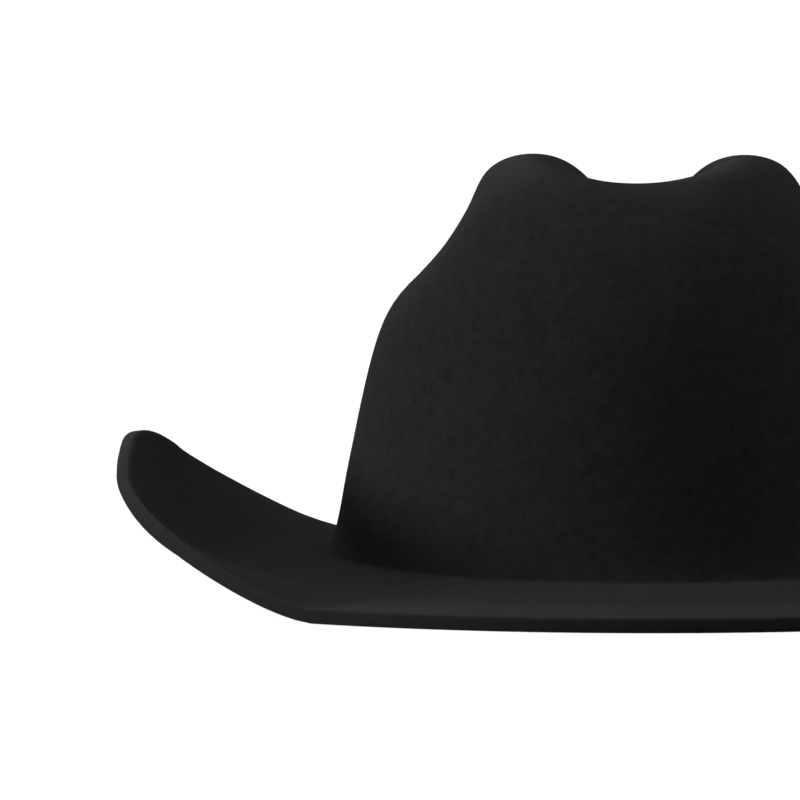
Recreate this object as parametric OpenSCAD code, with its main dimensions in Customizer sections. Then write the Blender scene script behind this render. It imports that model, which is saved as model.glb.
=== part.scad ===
// Western felt hat with a cattleman crease, a curled brim and a sewn-in sweatband and lining.
// The front points along -Y, +Z is up and the origin is on the table under the middle.

/* [Crown] */
// Length of the felt crown at the brim break, outside
crown_l = 205.4; // [180:0.1:230]
// Width of the felt crown at the brim break, outside
crown_w = 173.4; // [150:0.1:200]
// Height of the blocked crown above the table, before it is creased
crown_h = 123.6; // [105:0.1:150]
// Squareness of the blocked crown, 2 for an ellipse
crown_square = 4.47; // [2.5:0.01:6]
// How much the sides draw in towards the top, as a share of the width
side_taper = 0.244; // [0:0.001:0.35]
// How much the ends draw in towards the top, as a share of the length
end_taper = 0.12; // [0:0.001:0.3]
// How far the top of the crown sits behind the break
crown_lean = 2; // [-6:0.1:10]

/* [Creases] */
// Depth of the centre crease where it runs out at the back and front
crease_end_depth = 6.6; // [0:0.1:12]
// Half width of the centre crease where it runs out
crease_end_w = 26; // [14:0.1:40]
// Extra depth along the middle of the centre crease
crease_mid_depth = 17.7; // [0:0.1:26]
// Half width of the deep part of the centre crease
crease_mid_w = 15; // [10:0.1:24]
// Where the deep part of the centre crease starts, from the middle of the hat
crease_front_y = -62; // [-75:1:-40]
// Where the deep part of the centre crease ends
crease_back_y = 48; // [30:1:70]
// Depth of the two side dents
dent_depth = 17; // [0:0.1:26]
// Height of the side dents above the table
dent_z = 101.7; // [85:0.1:115]
// Half height of the side dents
dent_h = 15.9; // [10:0.1:26]
// Front end of the side dents
dent_front_y = -88; // [-100:1:-60]
// Back end of the side dents
dent_back_y = 64; // [40:1:85]
// Length over which a side dent fades in and out
dent_fade = 71; // [30:1:75]
// How far the front of the crown is pinched in on each side
pinch_depth = 10; // [0:0.1:14]

// Height of the pinch above the table
pinch_z = 82; // [75:1:95]

/* [Brim] */
// Width of the brim at the sides, along the felt
brim_side_w = 74.6; // [55:0.1:95]
// Width of the brim at the front and back
brim_end_w = 78.2; // [60:0.1:100]
// Height of the side curl on the front half
curl_front_h = 43; // [0:0.1:50]
// Height of the side curl on the back half
curl_back_h = 32.6; // [0:0.1:50]
// Angle round the oval, from the side, at which the brim starts to curl
curl_angle = 60; // [40:1:75]
// How suddenly the curl starts along the edge
curl_onset = 0.35; // [0.3:0.01:2]
// How softly the curl starts along the edge
curl_soft = 0.2; // [0.02:0.01:0.3]
// How much the curl is gathered towards the edge
curl_roll = 2.45; // [1.6:0.01:4]
// Height of the brim break at the sides, on top
break_side_z = 8.6; // [6:0.1:16]
// Height of the brim break at the front and back, on top
break_end_z = 7.2; // [6:0.1:14]
// Radius-like spread of the felt where the crown turns into the brim
flare = 2.2; // [0.5:0.1:4]

/* [Felt] */
// Felt thickness in the crown
felt_t = 3; // [2:0.1:3.5]
// Felt thickness in the brim
brim_t = 4; // [2.5:0.1:4.5]
// How far the cut edge of the brim bulges
edge_round = 1.2; // [0.2:0.1:2]

/* [Sweatband] */
// Height of the leather sweatband
band_h = 48; // [35:1:52]
// Thickness of the leather
leather_t = 1.1; // [0.8:0.1:1.6]
// Height of the lower edge of the leather above the table
band_z = 6; // [4.5:0.1:9]
// Space between the felt and the leather, for the lining hem and the tag
band_gap = 1.3; // [1:0.1:2]
// Thickness of the woven reed tape
tape_t = 0.4; // [0.3:0.05:0.6]
// Height of the reed tape on the leather
tape_h = 5; // [3:0.1:8]
// Radius of the plastic reed
reed_r = 0.8; // [0.5:0.05:1]
// Number of stitches in each row round the sweatband
stitch_count = 90; // [60:1:120]
// Length of a stitch
stitch_l = 3; // [1.5:0.1:3.5]
// Radius of the sewing thread
thread_r = 0.3; // [0.15:0.05:0.4]
// Number of zigzag stitches in the back seam
seam_count = 12; // [6:1:16]
// Width of the patch behind the back seam
patch_w = 16; // [10:1:24]

/* [Bow] */
// Width of the bow's ribbon
ribbon_w = 4; // [3:0.1:6]
// Thickness of the ribbon
ribbon_t = 0.4; // [0.3:0.05:0.6]
// Reach of one bow loop
loop_l = 12; // [8:0.5:16]
// Height of the bow above the table
bow_z = 17; // [14:0.5:24]

/* [Lining] */
// Thickness of the satin
satin_t = 0.4; // [0.3:0.05:0.6]
// Space between the felt and the lining
lining_gap = 0.5; // [0.3:0.05:0.6]
// Height of the lining's lower hem above the table
hem_z = 46; // [40:1:50]
// Meridian step at which the lining's top is seamed to its side
seam_row = 11; // [9:1:13]
// Radius of the piping in that seam
piping_r = 0.6; // [0.4:0.05:0.8]
// Meridian step at which the clear shield ends
shield_row = 8; // [5:1:8]
// Thickness of the clear shield
shield_t = 0.3; // [0.2:0.05:0.5]
// Width of the blank size tag
tag_w = 20; // [12:1:30]
// Height of the blank size tag
tag_h = 24; // [12:1:26]

/* [Hidden] */
// steps round the oval and along the felt
around = 60;
dome_rows = 22;
brim_rows = 11;
// meridian angles of the crown's rows, with one more just above the break
last_wall_angle = 88;
crown_angles = concat([for (i = [0:dome_rows - 1]) 90 * i / dome_rows], [last_wall_angle, 90]);
crown_rows = len(crown_angles) - 1;
// half the gap between the two lining panels, as a meridian angle
seam_half = 0.8;
brim_substeps = 3;
// height over which the flare at the break dies out
flare_h = 4;
// share of the crown's height over which the centre crease sets in
crease_from = 0.5;
crease_full = 0.92;
// how far past its two ends the deep part of the crease reaches, and its fade
crease_run_front = 16;
crease_run_back = 10;
crease_fade = 40;
// half-height of the front pinch, where it sets in and is full along the crown, and its full width
pinch_h = 30;
pinch_from = 20;
pinch_full = 95;
pinch_half_w = 50;
// half-width of the strip along the middle in which the two side dents swap sides
side_soft = 14;
// share of the brim width over which it settles on the table and reaches its own thickness
settle = 0.5;
thicken = 0.4;
// steepest plan shortening that a brim step may take
min_plan = 0.12;
// space between pieces that lie against each other, round the reed and between free layers
touch = 0.1;
slack = 0.15;
clear = 0.3;
// inset of the felt's inner corner at the height of the brim stitches
corner_inset = 1.5;
// distance of the visible stitch row from the tape's edge
tape_margin = 1.2;
// distance of the bow's middle plane from the leather, and the knot
bow_stand = 3.2;
knot = 3.2;
// radius of a loop's round end and of its start at the knot
loop_end_r = 1.6;
loop_start_r = 0.6;
felt_black = [0.13, 0.13, 0.13];
leather_brown = [0.16, 0.10, 0.07];
satin_grey = [0.42, 0.42, 0.44];

function ramp(v, a, b) = min(1, max(0, (v - a) / (b - a)));
function ease(v, a, b) = let (t = ramp(v, a, b)) t * t * (3 - 2 * t);
function soft_start(t, s) = (sqrt(t * t + s * s) - s) / (sqrt(1 + s * s) - s);
function bell(v, middle, spread) = exp(-pow((v - middle) / spread, 2));
function window(v, a, b, fade_a, fade_b) = ease(v, a, a + fade_a) * (1 - ease(v, b - fade_b, b));
function side_of(x, soft) = x / sqrt(x * x + soft * soft);
function last(list) = list[len(list) - 1];

// outward direction of the head oval at angle q, in plan
function oval_out(q) =
    let (v = [cos(q) / crown_w, sin(q) / crown_l, 0])
    v / norm(v);

function break_z(q) = break_side_z * pow(cos(q), 2) + break_end_z * pow(sin(q), 2);

// moves a point of the blocked crown by the side dents, the front pinch and the centre crease;
// lift is 0 at the break and 1 at the top of the crown
function creased(p, lift) =
    let (
        top = ease(lift, crease_from, crease_full),
        dent = dent_depth * bell(p.z, dent_z, dent_h)
             * window(p.y, dent_front_y, dent_back_y, dent_fade, dent_fade),
        pinch = pinch_depth * bell(p.z, pinch_z, pinch_h) * ease(-p.y, pinch_from, pinch_full)
              * ramp(abs(p.x), 0, pinch_half_w),
        deep = window(p.y, crease_front_y - crease_run_front, crease_back_y + crease_run_back,
                      crease_fade, crease_fade),
        crease = crease_end_depth * bell(p.x, 0, crease_end_w)
               + crease_mid_depth * deep * bell(p.x, 0, crease_mid_w)
    )
    [p.x - side_of(p.x, side_soft) * (dent + pinch), p.y, p.z - top * crease];

// a point of the crown's outer surface; reach is 0 at the middle and 1 at the wall
function crown_point(q, reach, lift, spread) =
    let (
        z = break_z(q) + (crown_h - break_z(q)) * lift,
        out = oval_out(q) * spread * exp(-(z - break_z(q)) / flare_h) * ramp(reach, 0.5, 1)
    )
    creased([crown_w / 2 * reach * cos(q) * (1 - side_taper * lift) + out.x,
             crown_l / 2 * reach * sin(q) * (1 - end_taper * lift) + crown_lean * lift + out.y,
             z], lift);

// the same, at meridian angle f, 0 at the middle of the top and 90 at the break
function crown_at(q, f) =
    let (k = pow(pow(sin(f), crown_square) + pow(cos(f), crown_square), -1 / crown_square))
    crown_point(q, k * sin(f), k * cos(f), flare);

// the wall at a given height, without the flare, for what stands against its inside
function wall_at(q, z) =
    let (lift = (z - break_z(q)) / (crown_h - break_z(q)),
         wall = crown_point(q, pow(1 - pow(max(0, lift), crown_square), 1 / crown_square), lift, 0))
    [wall.x, wall.y, z];

// height of the brim's top surface, r from 0 at the break to 1 at the edge
function brim_z(q, r) =
    let (
        turn = acos(min(1, abs(cos(q)))),
        share = pow(ease(soft_start(ramp(1 - turn / curl_angle, 0, 1), curl_soft), 0, 1), curl_onset),
        curl = curl_back_h + (curl_front_h - curl_back_h) * (1 - sin(q)) / 2,
        down = ease(r, 0, settle)
    )
    break_z(q) * (1 - down) + brim_t * down + curl * share * pow(r, curl_roll);

// the brim keeps its width along the felt, so a steep curl shortens it in plan
function brim_column(q) =
    let (
        steps = brim_rows * brim_substeps,
        w = brim_side_w * pow(cos(q), 2) + brim_end_w * pow(sin(q), 2) - flare,
        zs = [for (i = [0:steps]) brim_z(q, i / steps)],
        least = min_plan * w / steps,
        reach = [for (i = 0, d = 0; i <= steps;
                      d = i < steps
                        ? d + sqrt(max(pow(w / steps, 2) - pow(zs[i + 1] - zs[i], 2), pow(least, 2)))
                        : d,
                      i = i + 1) d],
        foot = [crown_w / 2 * cos(q), crown_l / 2 * sin(q), 0] + oval_out(q) * flare
    )
    [for (k = [1:brim_rows]) let (i = k * brim_substeps) foot + oval_out(q) * reach[i] + [0, 0, zs[i]]];

// a grid holds one column of points for each step round the oval
function crown_grid(angles) = [for (j = [0:around - 1]) [for (f = angles) crown_at(j * 360 / around, f)]];

// unit normals of a grid, pointing outwards
function grid_normals(g) =
    let (n = len(g), m = len(g[0]))
    [for (j = [0:n - 1]) [for (i = [0:m - 1])
        let (
            across = g[(j + 1) % n][i] - g[(j + n - 1) % n][i],
            along = g[j][min(i + 1, m - 1)] - g[j][max(i - 1, 0)],
            v = cross(along, across)
        )
        norm(v) > 0 ? v / norm(v) : [0, 0, 1]]];

// the grid moved inwards along its normals
function sunk(g, depth) =
    let (normals = grid_normals(g))
    [for (j = [0:len(g) - 1]) [for (i = [0:len(g[j]) - 1]) g[j][i] - normals[j][i] * depth]];

function backwards(list) = [for (i = [len(list) - 1:-1:0]) list[i]];

// faces of the skin that joins neighbouring sections; a closed section is a loop of points
function skin_faces(n, m, closed) =
    [for (j = [0:n - 1]) for (i = [0:closed ? m - 1 : m - 2])
        let (a = j * m + i, b = j * m + (i + 1) % m,
             c = (j + 1) % n * m + (i + 1) % m, d = (j + 1) % n * m + i)
        each [[a, d, c], [a, c, b]]];

// a ring swept from one closed section for each step round the oval
module swept_ring(sections) {
    polyhedron(points = [for (s = sections) each s],
               faces = skin_faces(len(sections), len(sections[0]), true));
}

// a dome: each section runs from the top outside, over the rim, to the top inside
module swept_dome(sections, top, bottom) {
    n = len(sections);
    m = len(sections[0]);
    polyhedron(points = concat([for (s = sections) each s], [top, bottom]),
               faces = concat(skin_faces(n, m, false),
                              [for (j = [0:n - 1]) [n * m, (j + 1) % n * m, j * m]],
                              [for (j = [0:n - 1]) [j * m + m - 1, (j + 1) % n * m + m - 1, n * m + 1]]));
}

// a dome of one thickness between two grids that start with the pole
module dome_between(outer, inner) {
    swept_dome([for (j = [0:len(outer) - 1])
                   concat([for (i = [1:len(outer[j]) - 1]) outer[j][i]],
                          backwards([for (i = [1:len(inner[j]) - 1]) inner[j][i]]))],
               outer[0][0], inner[0][0]);
}

module ring_between(outer, inner) {
    swept_ring([for (j = [0:len(outer) - 1]) concat(outer[j], backwards(inner[j]))]);
}

// a round cord along a closed path, with the outward direction of each point
module oval_cord(path, r, sides) {
    swept_ring([for (j = [0:len(path) - 1])
        let (out = oval_out(j * 360 / around))
        [for (a = [0:sides - 1]) path[j] + r * (out * sin(a * 360 / sides) + [0, 0, cos(a * 360 / sides)])]]);
}

// a point inside the wall: inset is measured from the felt's outer face
function inside_wall(q, z, inset) = wall_at(q, z) - oval_out(q) * inset;

band_outer = felt_t + band_gap;
band_inner = band_outer + leather_t;

module felt_body() {
    outer = [for (j = [0:around - 1])
                let (q = j * 360 / around)
                concat([for (f = crown_angles) crown_at(q, f)], brim_column(q))];
    normals = grid_normals(outer);
    inner = [for (j = [0:around - 1]) [for (i = [0:crown_rows + brim_rows])
                outer[j][i] - normals[j][i]
                * (felt_t + (brim_t - felt_t) * ease((i - crown_rows) / brim_rows, 0, thicken))]];
    color(felt_black)
        swept_dome([for (j = [0:around - 1])
            let (
                rim = last(outer[j]),
                under = last(inner[j]),
                run = rim - outer[j][crown_rows + brim_rows - 1],
                bulge = run / norm(run)
            )
            concat([for (i = [1:len(outer[j]) - 1]) outer[j][i]],
                   [rim * 0.75 + under * 0.25 + bulge * edge_round * 0.8,
                    (rim + under) / 2 + bulge * edge_round,
                    rim * 0.25 + under * 0.75 + bulge * edge_round * 0.8],
                   backwards([for (i = [1:len(inner[j]) - 1]) inner[j][i]]))],
            outer[0][0], inner[0][0]);
}

module sweatband() {
    color(leather_brown)
        swept_ring([for (j = [0:around - 1])
            let (q = j * 360 / around, rows = 4, zs = [for (i = [0:rows]) band_z + band_h * (1 - i / rows)])
            concat([for (z = zs) inside_wall(q, z, band_outer)],
                   backwards([for (z = zs) inside_wall(q, z, band_inner)]))]);
}

// the reed lies just under the leather's lower edge
module sweatband_reed() {
    color([0.55, 0.53, 0.48])
        oval_cord([for (j = [0:around - 1])
                      inside_wall(j * 360 / around, band_z - reed_r - slack, band_outer + leather_t / 2)],
                  reed_r, 6);
}

// the tape is folded under the reed and up both faces of the leather
module reed_tape() {
    near = band_outer - touch;
    far = band_inner + touch;
    low = band_z - 2 * reed_r - 2 * slack;
    mid = (near + far) / 2;
    half = max(reed_r, leather_t / 2) + slack;
    foot = half * 0.6;
    color([0.30, 0.29, 0.28])
        swept_ring([for (j = [0:around - 1])
            let (q = j * 360 / around)
            [inside_wall(q, band_z + tape_h, near - tape_t),
             inside_wall(q, band_z - reed_r, mid - half - tape_t),
             inside_wall(q, low - tape_t, mid - foot),
             inside_wall(q, low - tape_t, mid + foot),
             inside_wall(q, band_z - reed_r, mid + half + tape_t),
             inside_wall(q, band_z + tape_h, far + tape_t),
             inside_wall(q, band_z + tape_h, far),
             inside_wall(q, band_z - reed_r, mid + half),
             inside_wall(q, low, mid + foot),
             inside_wall(q, low, mid - foot),
             inside_wall(q, band_z - reed_r, mid - half),
             inside_wall(q, band_z + tape_h, near)]]);
}

// a curved strip between two insets, centred at angle q_mid
module wall_strip(q_mid, w, z_from, z_to, inset_from, inset_to) {
    steps = 4;
    turn = w / crown_w * 2 * 180 / PI / 2;
    sections = [for (i = [0:steps])
        let (q = q_mid - turn + 2 * turn * i / steps)
        [inside_wall(q, z_to, inset_from), inside_wall(q, z_from, inset_from),
         inside_wall(q, z_from, inset_to), inside_wall(q, z_to, inset_to)]];
    polyhedron(points = [for (s = sections) each s],
               faces = concat([[3, 2, 1, 0], [for (k = [0:3]) steps * 4 + k]],
                              [for (i = [0:steps - 1]) for (k = [0:3])
                                  let (a = i * 4 + k, b = i * 4 + (k + 1) % 4)
                                  each [[a, b, b + 4], [a, b + 4, a + 4]]]));
}

module sweatband_back_patch() {
    color([0.24, 0.20, 0.17])
        wall_strip(90, patch_w, band_z + tape_h + 1, hem_z - 2, band_outer - touch - clear, band_outer - touch);
}

module size_tag() {
    color([0.85, 0.84, 0.80])
        wall_strip(120, tag_w, band_z + tape_h + 3, band_z + tape_h + 3 + tag_h,
                   band_outer - touch - clear, band_outer - touch);
}

// a stitch lying along the oval at angle q
module oval_stitch(q, z, inset) {
    p = inside_wall(q, z, inset);
    out = oval_out(q);
    translate(p)
        rotate([0, 0, atan2(out.y, out.x)])
            rotate([90, 0, 0])
                cylinder(h = stitch_l, r = thread_r, center = true, $fn = 16);
}

module reed_stitches() {
    color([0.75, 0.73, 0.68])
        for (i = [0:stitch_count - 1])
            oval_stitch(i * 360 / stitch_count, band_z + tape_h - tape_margin,
                        band_inner + touch + tape_t + clear + thread_r);
}

// threads that run from the reed tape out into the felt at the break
module brim_stitches() {
    color(felt_black)
        for (i = [0:stitch_count - 1]) {
            q = (i + 0.5) * 360 / stitch_count;
            out = oval_out(q);
            tape_face = band_outer - tape_t - 2 * touch;
            translate(inside_wall(q, band_z + tape_h / 2, tape_face))
                rotate([0, 0, atan2(out.y, out.x)])
                    rotate([0, 90, 0])
                        cylinder(h = tape_face - corner_inset, r = thread_r, $fn = 16);
        }
}

// the band's back seam is closed by a zigzag on its inner face
module sweatband_seam_stitches() {
    z_from = bow_z + ribbon_w + 2;
    pitch = (band_z + band_h - 2 - z_from) / seam_count;
    color([0.75, 0.73, 0.68])
        for (i = [0:seam_count - 1])
            translate(inside_wall(90, z_from + (i + 0.5) * pitch, band_inner + thread_r + clear))
                rotate([0, i % 2 == 0 ? 50 : -50, 0])
                    cylinder(h = stitch_l, r = thread_r, center = true, $fn = 16);
}

// one loop of ribbon seen on edge: a flat teardrop
module loop_outline(grow) {
    hull() {
        translate([loop_l - loop_end_r, 0])
            circle(r = loop_end_r + grow, $fn = 24);
        translate([loop_start_r, 0])
            circle(r = loop_start_r + grow, $fn = 24);
    }
}

module sweatband_bow() {
    y = inside_wall(90, bow_z, band_inner).y - bow_stand;
    color([0.14, 0.14, 0.15])
        translate([0, y, bow_z]) {
            for (s = [0, 1])
                mirror([s, 0, 0]) {
                    translate([0, 0, -ribbon_w / 2])
                        linear_extrude(ribbon_w)
                            difference() {
                                loop_outline(ribbon_t / 2);
                                loop_outline(-ribbon_t / 2);
                            }
                    rotate([0, 25, 0])
                        translate([-ribbon_w / 2, -ribbon_t / 2, -loop_l])
                            cube([ribbon_w, ribbon_t, loop_l]);
                }
            cube([knot, knot, ribbon_w + 1], center = true);
        }
}

lining_depth = felt_t + lining_gap;
seam_angle = crown_angles[seam_row];

module lining_side() {
    hem_lift = (hem_z - break_end_z) / (crown_h - break_end_z);
    hem_angle = atan2(pow(1 - pow(hem_lift, crown_square), 1 / crown_square), hem_lift);
    g = crown_grid(concat([seam_angle + seam_half],
                          [for (f = crown_angles) if (f > seam_angle + 1 && f < hem_angle - 1) f],
                          [hem_angle]));
    color(satin_grey)
        ring_between(sunk(g, lining_depth), sunk(g, lining_depth + satin_t));
}

module lining_tip() {
    g = crown_grid(concat([for (f = crown_angles) if (f < seam_angle - 1) f], [seam_angle - seam_half]));
    color(satin_grey)
        dome_between(sunk(g, lining_depth), sunk(g, lining_depth + satin_t));
}

module lining_seam_piping() {
    g = sunk(crown_grid([seam_angle - 1, seam_angle, seam_angle + 1]), lining_depth + satin_t + piping_r + 0.1);
    color([0.30, 0.29, 0.28])
        oval_cord([for (c = g) c[1]], piping_r, 6);
}

module tip_shield() {
    g = crown_grid([for (i = [0:shield_row]) crown_angles[i]]);
    color([0.8, 0.85, 0.9, 0.4])
        dome_between(sunk(g, lining_depth + satin_t + clear), sunk(g, lining_depth + satin_t + clear + shield_t));
}

felt_body();
sweatband();
sweatband_reed();
reed_tape();
sweatband_back_patch();
sweatband_seam_stitches();
reed_stitches();
brim_stitches();
sweatband_bow();
lining_side();
lining_tip();
lining_seam_piping();
tip_shield();
size_tag();
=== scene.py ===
import math
import bmesh
import bpy
import numpy as np
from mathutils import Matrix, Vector


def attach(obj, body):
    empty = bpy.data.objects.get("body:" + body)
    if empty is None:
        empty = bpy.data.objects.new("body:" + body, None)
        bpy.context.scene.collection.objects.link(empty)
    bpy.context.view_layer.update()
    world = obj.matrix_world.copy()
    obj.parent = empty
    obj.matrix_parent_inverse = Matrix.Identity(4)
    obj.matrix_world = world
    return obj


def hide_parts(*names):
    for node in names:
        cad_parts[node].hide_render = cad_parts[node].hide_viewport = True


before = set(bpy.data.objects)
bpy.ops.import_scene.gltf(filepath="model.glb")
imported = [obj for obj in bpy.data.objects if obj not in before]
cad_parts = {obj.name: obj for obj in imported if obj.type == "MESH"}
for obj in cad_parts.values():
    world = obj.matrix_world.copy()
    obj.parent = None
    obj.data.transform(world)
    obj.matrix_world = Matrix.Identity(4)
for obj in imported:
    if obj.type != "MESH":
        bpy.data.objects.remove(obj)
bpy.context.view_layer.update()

MM = 0.001
TURN = 2 * math.pi

# ---------------------------------------------------------------- sizes, in millimetres

CROWN = {
    "Crown length": 205.4,
    "Crown width": 173.4,
    "Crown height": 123.6,
    "Crown squareness": 4.47,
    "Side taper": 0.244,
    "End taper": 0.12,
    "Crown lean": 2.0,
    "Crease end depth": 6.6,
    "Crease end spread": 26.0,
    "Crease middle depth": 17.7,
    "Crease middle spread": 15.0,
    "Crease front": -62.0,
    "Crease back": 48.0,
    "Dent depth": 17.0,
    "Dent height": 101.7,
    "Dent spread": 15.9,
    "Dent front": -88.0,
    "Dent back": 64.0,
    "Dent fade": 71.0,
    "Pinch depth": 10.0,
    "Pinch height": 82.0,
    "Break height at sides": 8.6,
    "Break height at ends": 7.2,
    "Flare": 2.2,
    "Flare height": 4.0,
}
BRIM = {
    "Brim width at sides": 74.6,
    "Brim width at ends": 78.2,
    "Curl height in front": 43.0,
    "Curl height behind": 32.6,
    "Curl angle": 60.0,
    "Curl onset": 0.35,
    "Curl softness": 0.2,
    "Curl roll": 2.45,
    "Felt thickness": 3.0,
    "Brim thickness": 4.0,
}
# Shares of the brim's width over which it settles to its own height and gets its full thickness.
SETTLE = 0.5
THICKEN = 0.4
# The least part of the felt's width that a step of the curl may take in plan.
MIN_PLAN = 0.12

# Shares of the crown's height over which the centre crease sets in.
CREASE_FROM = 0.5
CREASE_FULL = 0.92
# How far the deep part of the crease runs past its two ends, and the length over which it fades.
CREASE_RUN_FRONT = 16
CREASE_RUN_BACK = 10
CREASE_FADE = 40.0
# Half height of the front pinch, where it sets in and is full towards the front, and its half width.
PINCH_SPREAD = 30.0
PINCH_FROM = 20.0
PINCH_FULL = 95.0
PINCH_HALF_WIDTH = 50.0
# Half width of the strip along the middle in which the push of the dents changes sides.
SIDE_SOFTNESS = 14.0

# Steps round the oval for geometry trees and for swept strips.
TREE_STEPS = 240
RING_STEPS = 360
# Powers that crowd the felt's rows towards the crown's shoulder and the break.
CROWN_CROWDING = 1.25
BRIM_CROWDING = 1.15
# Points closer than this are welded, in metres.
WELD = 1e-5
WALL_WELD = 2e-6
# Heights over which the hand-made waves set in, in metres, so that the felt still lies flat on the table.
WAVE_FROM = 0.012
WAVE_FULL = 0.04
# The cut edge: corners sharper than this are rounded.
EDGE_ANGLE = 38
EDGE_ROUND = 1.5
EDGE_STEPS = 4

FELT = BRIM["Felt thickness"]
LEATHER = 1.1
BAND_GAP = 1.3
BAND_BOTTOM = 6.0
BAND_TOP = 54.0
BAND_OUTER = FELT + BAND_GAP
BAND_INNER = BAND_OUTER + LEATHER
REED_RADIUS = 0.8
TAPE = 0.4
TAPE_TOP = 11.0
# Gap between pieces that touch, room for the reed in its tape, and thickness of film, patch and tag.
TOUCH = 0.1
SLACK = 0.15
CLEAR = 0.3
LINING_DEPTH = FELT + 0.5
SATIN = 0.4
HEM_HEIGHT = 46.0
# Meridian angles of the lining seam and the shield's edge, and half the gap between the lining panels.
MERIDIAN_STEP = 90 / 22
SEAM_ANGLE = 11 * MERIDIAN_STEP
SHIELD_ANGLE = 8 * MERIDIAN_STEP
SEAM_HALF = 0.8
PIPING_RADIUS = 0.6
THREAD_RADIUS = 0.3
STITCH_LENGTH = 3.0
STITCH_COUNT = 90
SEAM_STITCHES = 12
BOW_HEIGHT = 17.0
BOW_STAND = 3.2
RIBBON_WIDTH = 4.0
RIBBON = 0.4
PATCH_WIDTH = 16.0
TAG_WIDTH = 20.0
TAG_HEIGHT = 24.0


# ---------------------------------------------------------------- node trees as expressions

class Wire:
    """A socket of a node tree that can be used in sums."""

    def __init__(self, board, socket):
        self.board = board
        self.socket = socket

    def math(self, operation, *others):
        values = dict(enumerate((self, *others)))
        return self.board.add("ShaderNodeMath", {"operation": operation}, values)

    def __add__(self, other):
        return self.math("ADD", other)

    def __radd__(self, other):
        return self.math("ADD", other)

    def __sub__(self, other):
        return self.math("SUBTRACT", other)

    def __rsub__(self, other):
        return self.board.number(other).math("SUBTRACT", self)

    def __mul__(self, other):
        return self.math("MULTIPLY", other)

    def __rmul__(self, other):
        return self.math("MULTIPLY", other)

    def __truediv__(self, other):
        return self.math("DIVIDE", other)

    def __rtruediv__(self, other):
        return self.board.number(other).math("DIVIDE", self)

    def __pow__(self, other):
        return self.math("POWER", other)

    def __neg__(self):
        return self.math("MULTIPLY", -1.0)


class Board:
    """A node tree under construction."""

    def __init__(self, tree):
        self.tree = tree

    def add(self, kind, settings=None, inputs=None, out=0):
        """The chosen output of a new node. Settings come first, then sockets, by name or number."""
        node = self.tree.nodes.new(kind)
        for name, value in (settings or {}).items():
            setattr(node, name, value)
        for key, value in (inputs or {}).items():
            self.plug(node.inputs[key], value)
        return Wire(self, node.outputs[out])

    def plug(self, socket, value):
        """Links a wire to a socket, or sets the socket to a plain value."""
        if isinstance(value, Wire):
            self.tree.links.new(value.socket, socket)
        else:
            socket.default_value = value

    def number(self, value):
        wire = self.add("ShaderNodeValue")
        wire.socket.default_value = value
        return wire

    def vector(self, x, y, z):
        return self.add("ShaderNodeCombineXYZ", inputs={0: x, 1: y, 2: z})

    def parts(self, vector):
        node = self.add("ShaderNodeSeparateXYZ", inputs={0: vector}).socket.node
        return [Wire(self, socket) for socket in node.outputs]

    def scaled(self, vector, amount):
        return self.add("ShaderNodeVectorMath", {"operation": "SCALE"}, {0: vector, "Scale": amount})

    def noise(self, vector, scale, detail=3.0, roughness=0.5, distortion=0.0):
        return self.add("ShaderNodeTexNoise", {"noise_dimensions": "3D"},
                        {"Vector": vector, "Scale": scale, "Detail": detail, "Roughness": roughness,
                         "Distortion": distortion})


# ---------------------------------------------------------------- sums on numbers and on wires

def on(value, operation, plain, *others):
    """The same function for a wire and for numbers."""
    if isinstance(value, Wire):
        return value.math(operation, *others)
    return plain(value, *others)


def sine(v):
    return on(v, "SINE", np.sin)


def cosine(v):
    return on(v, "COSINE", np.cos)


def exponential(v):
    return on(v, "EXPONENT", np.exp)


def root(v):
    return on(v, "SQRT", np.sqrt)


def size_of(v):
    return on(v, "ABSOLUTE", np.abs)


def at_least(v, low):
    return on(v, "MAXIMUM", np.maximum, low)


def at_most(v, high):
    return on(v, "MINIMUM", np.minimum, high)


def ramp(v, a, b):
    return at_most(at_least((v - a) / (b - a), 0.0), 1.0)


def ease(v, a, b):
    t = ramp(v, a, b)
    return t * t * (3 - 2 * t)


def bell(v, middle, spread):
    t = (v - middle) / spread
    return exponential(-(t * t))


def window(v, a, b, fade):
    return ease(v, a, a + fade) * (1 - ease(v, b - fade, b))


# ---------------------------------------------------------------- the shape of the hat

def oval_out(q, s):
    """The outward direction of the head oval at angle q, in plan."""
    x = cosine(q) / s["Crown width"]
    y = sine(q) / s["Crown length"]
    length = root(x * x + y * y)
    return x / length, y / length


def break_height(q, s):
    c = cosine(q)
    return s["Break height at sides"] * c * c + s["Break height at ends"] * (1 - c * c)


def creased(x, y, z, lift, s):
    """A point of the plain crown, moved by the side dents, the front pinch and the centre crease."""
    top = ease(lift, CREASE_FROM, CREASE_FULL)
    dent = s["Dent depth"] * bell(z, s["Dent height"], s["Dent spread"])
    dent = dent * window(y, s["Dent front"], s["Dent back"], s["Dent fade"])
    pinch = s["Pinch depth"] * bell(z, s["Pinch height"], PINCH_SPREAD)
    pinch = pinch * ease(-y, PINCH_FROM, PINCH_FULL) * ramp(size_of(x), 0.0, PINCH_HALF_WIDTH)
    deep = window(y, s["Crease front"] - CREASE_RUN_FRONT, s["Crease back"] + CREASE_RUN_BACK, CREASE_FADE)
    crease = s["Crease end depth"] * bell(x, 0.0, s["Crease end spread"])
    crease = crease + s["Crease middle depth"] * deep * bell(x, 0.0, s["Crease middle spread"])
    side = x / root(x * x + SIDE_SOFTNESS ** 2)
    return x - side * (dent + pinch), y, z - top * crease


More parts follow.
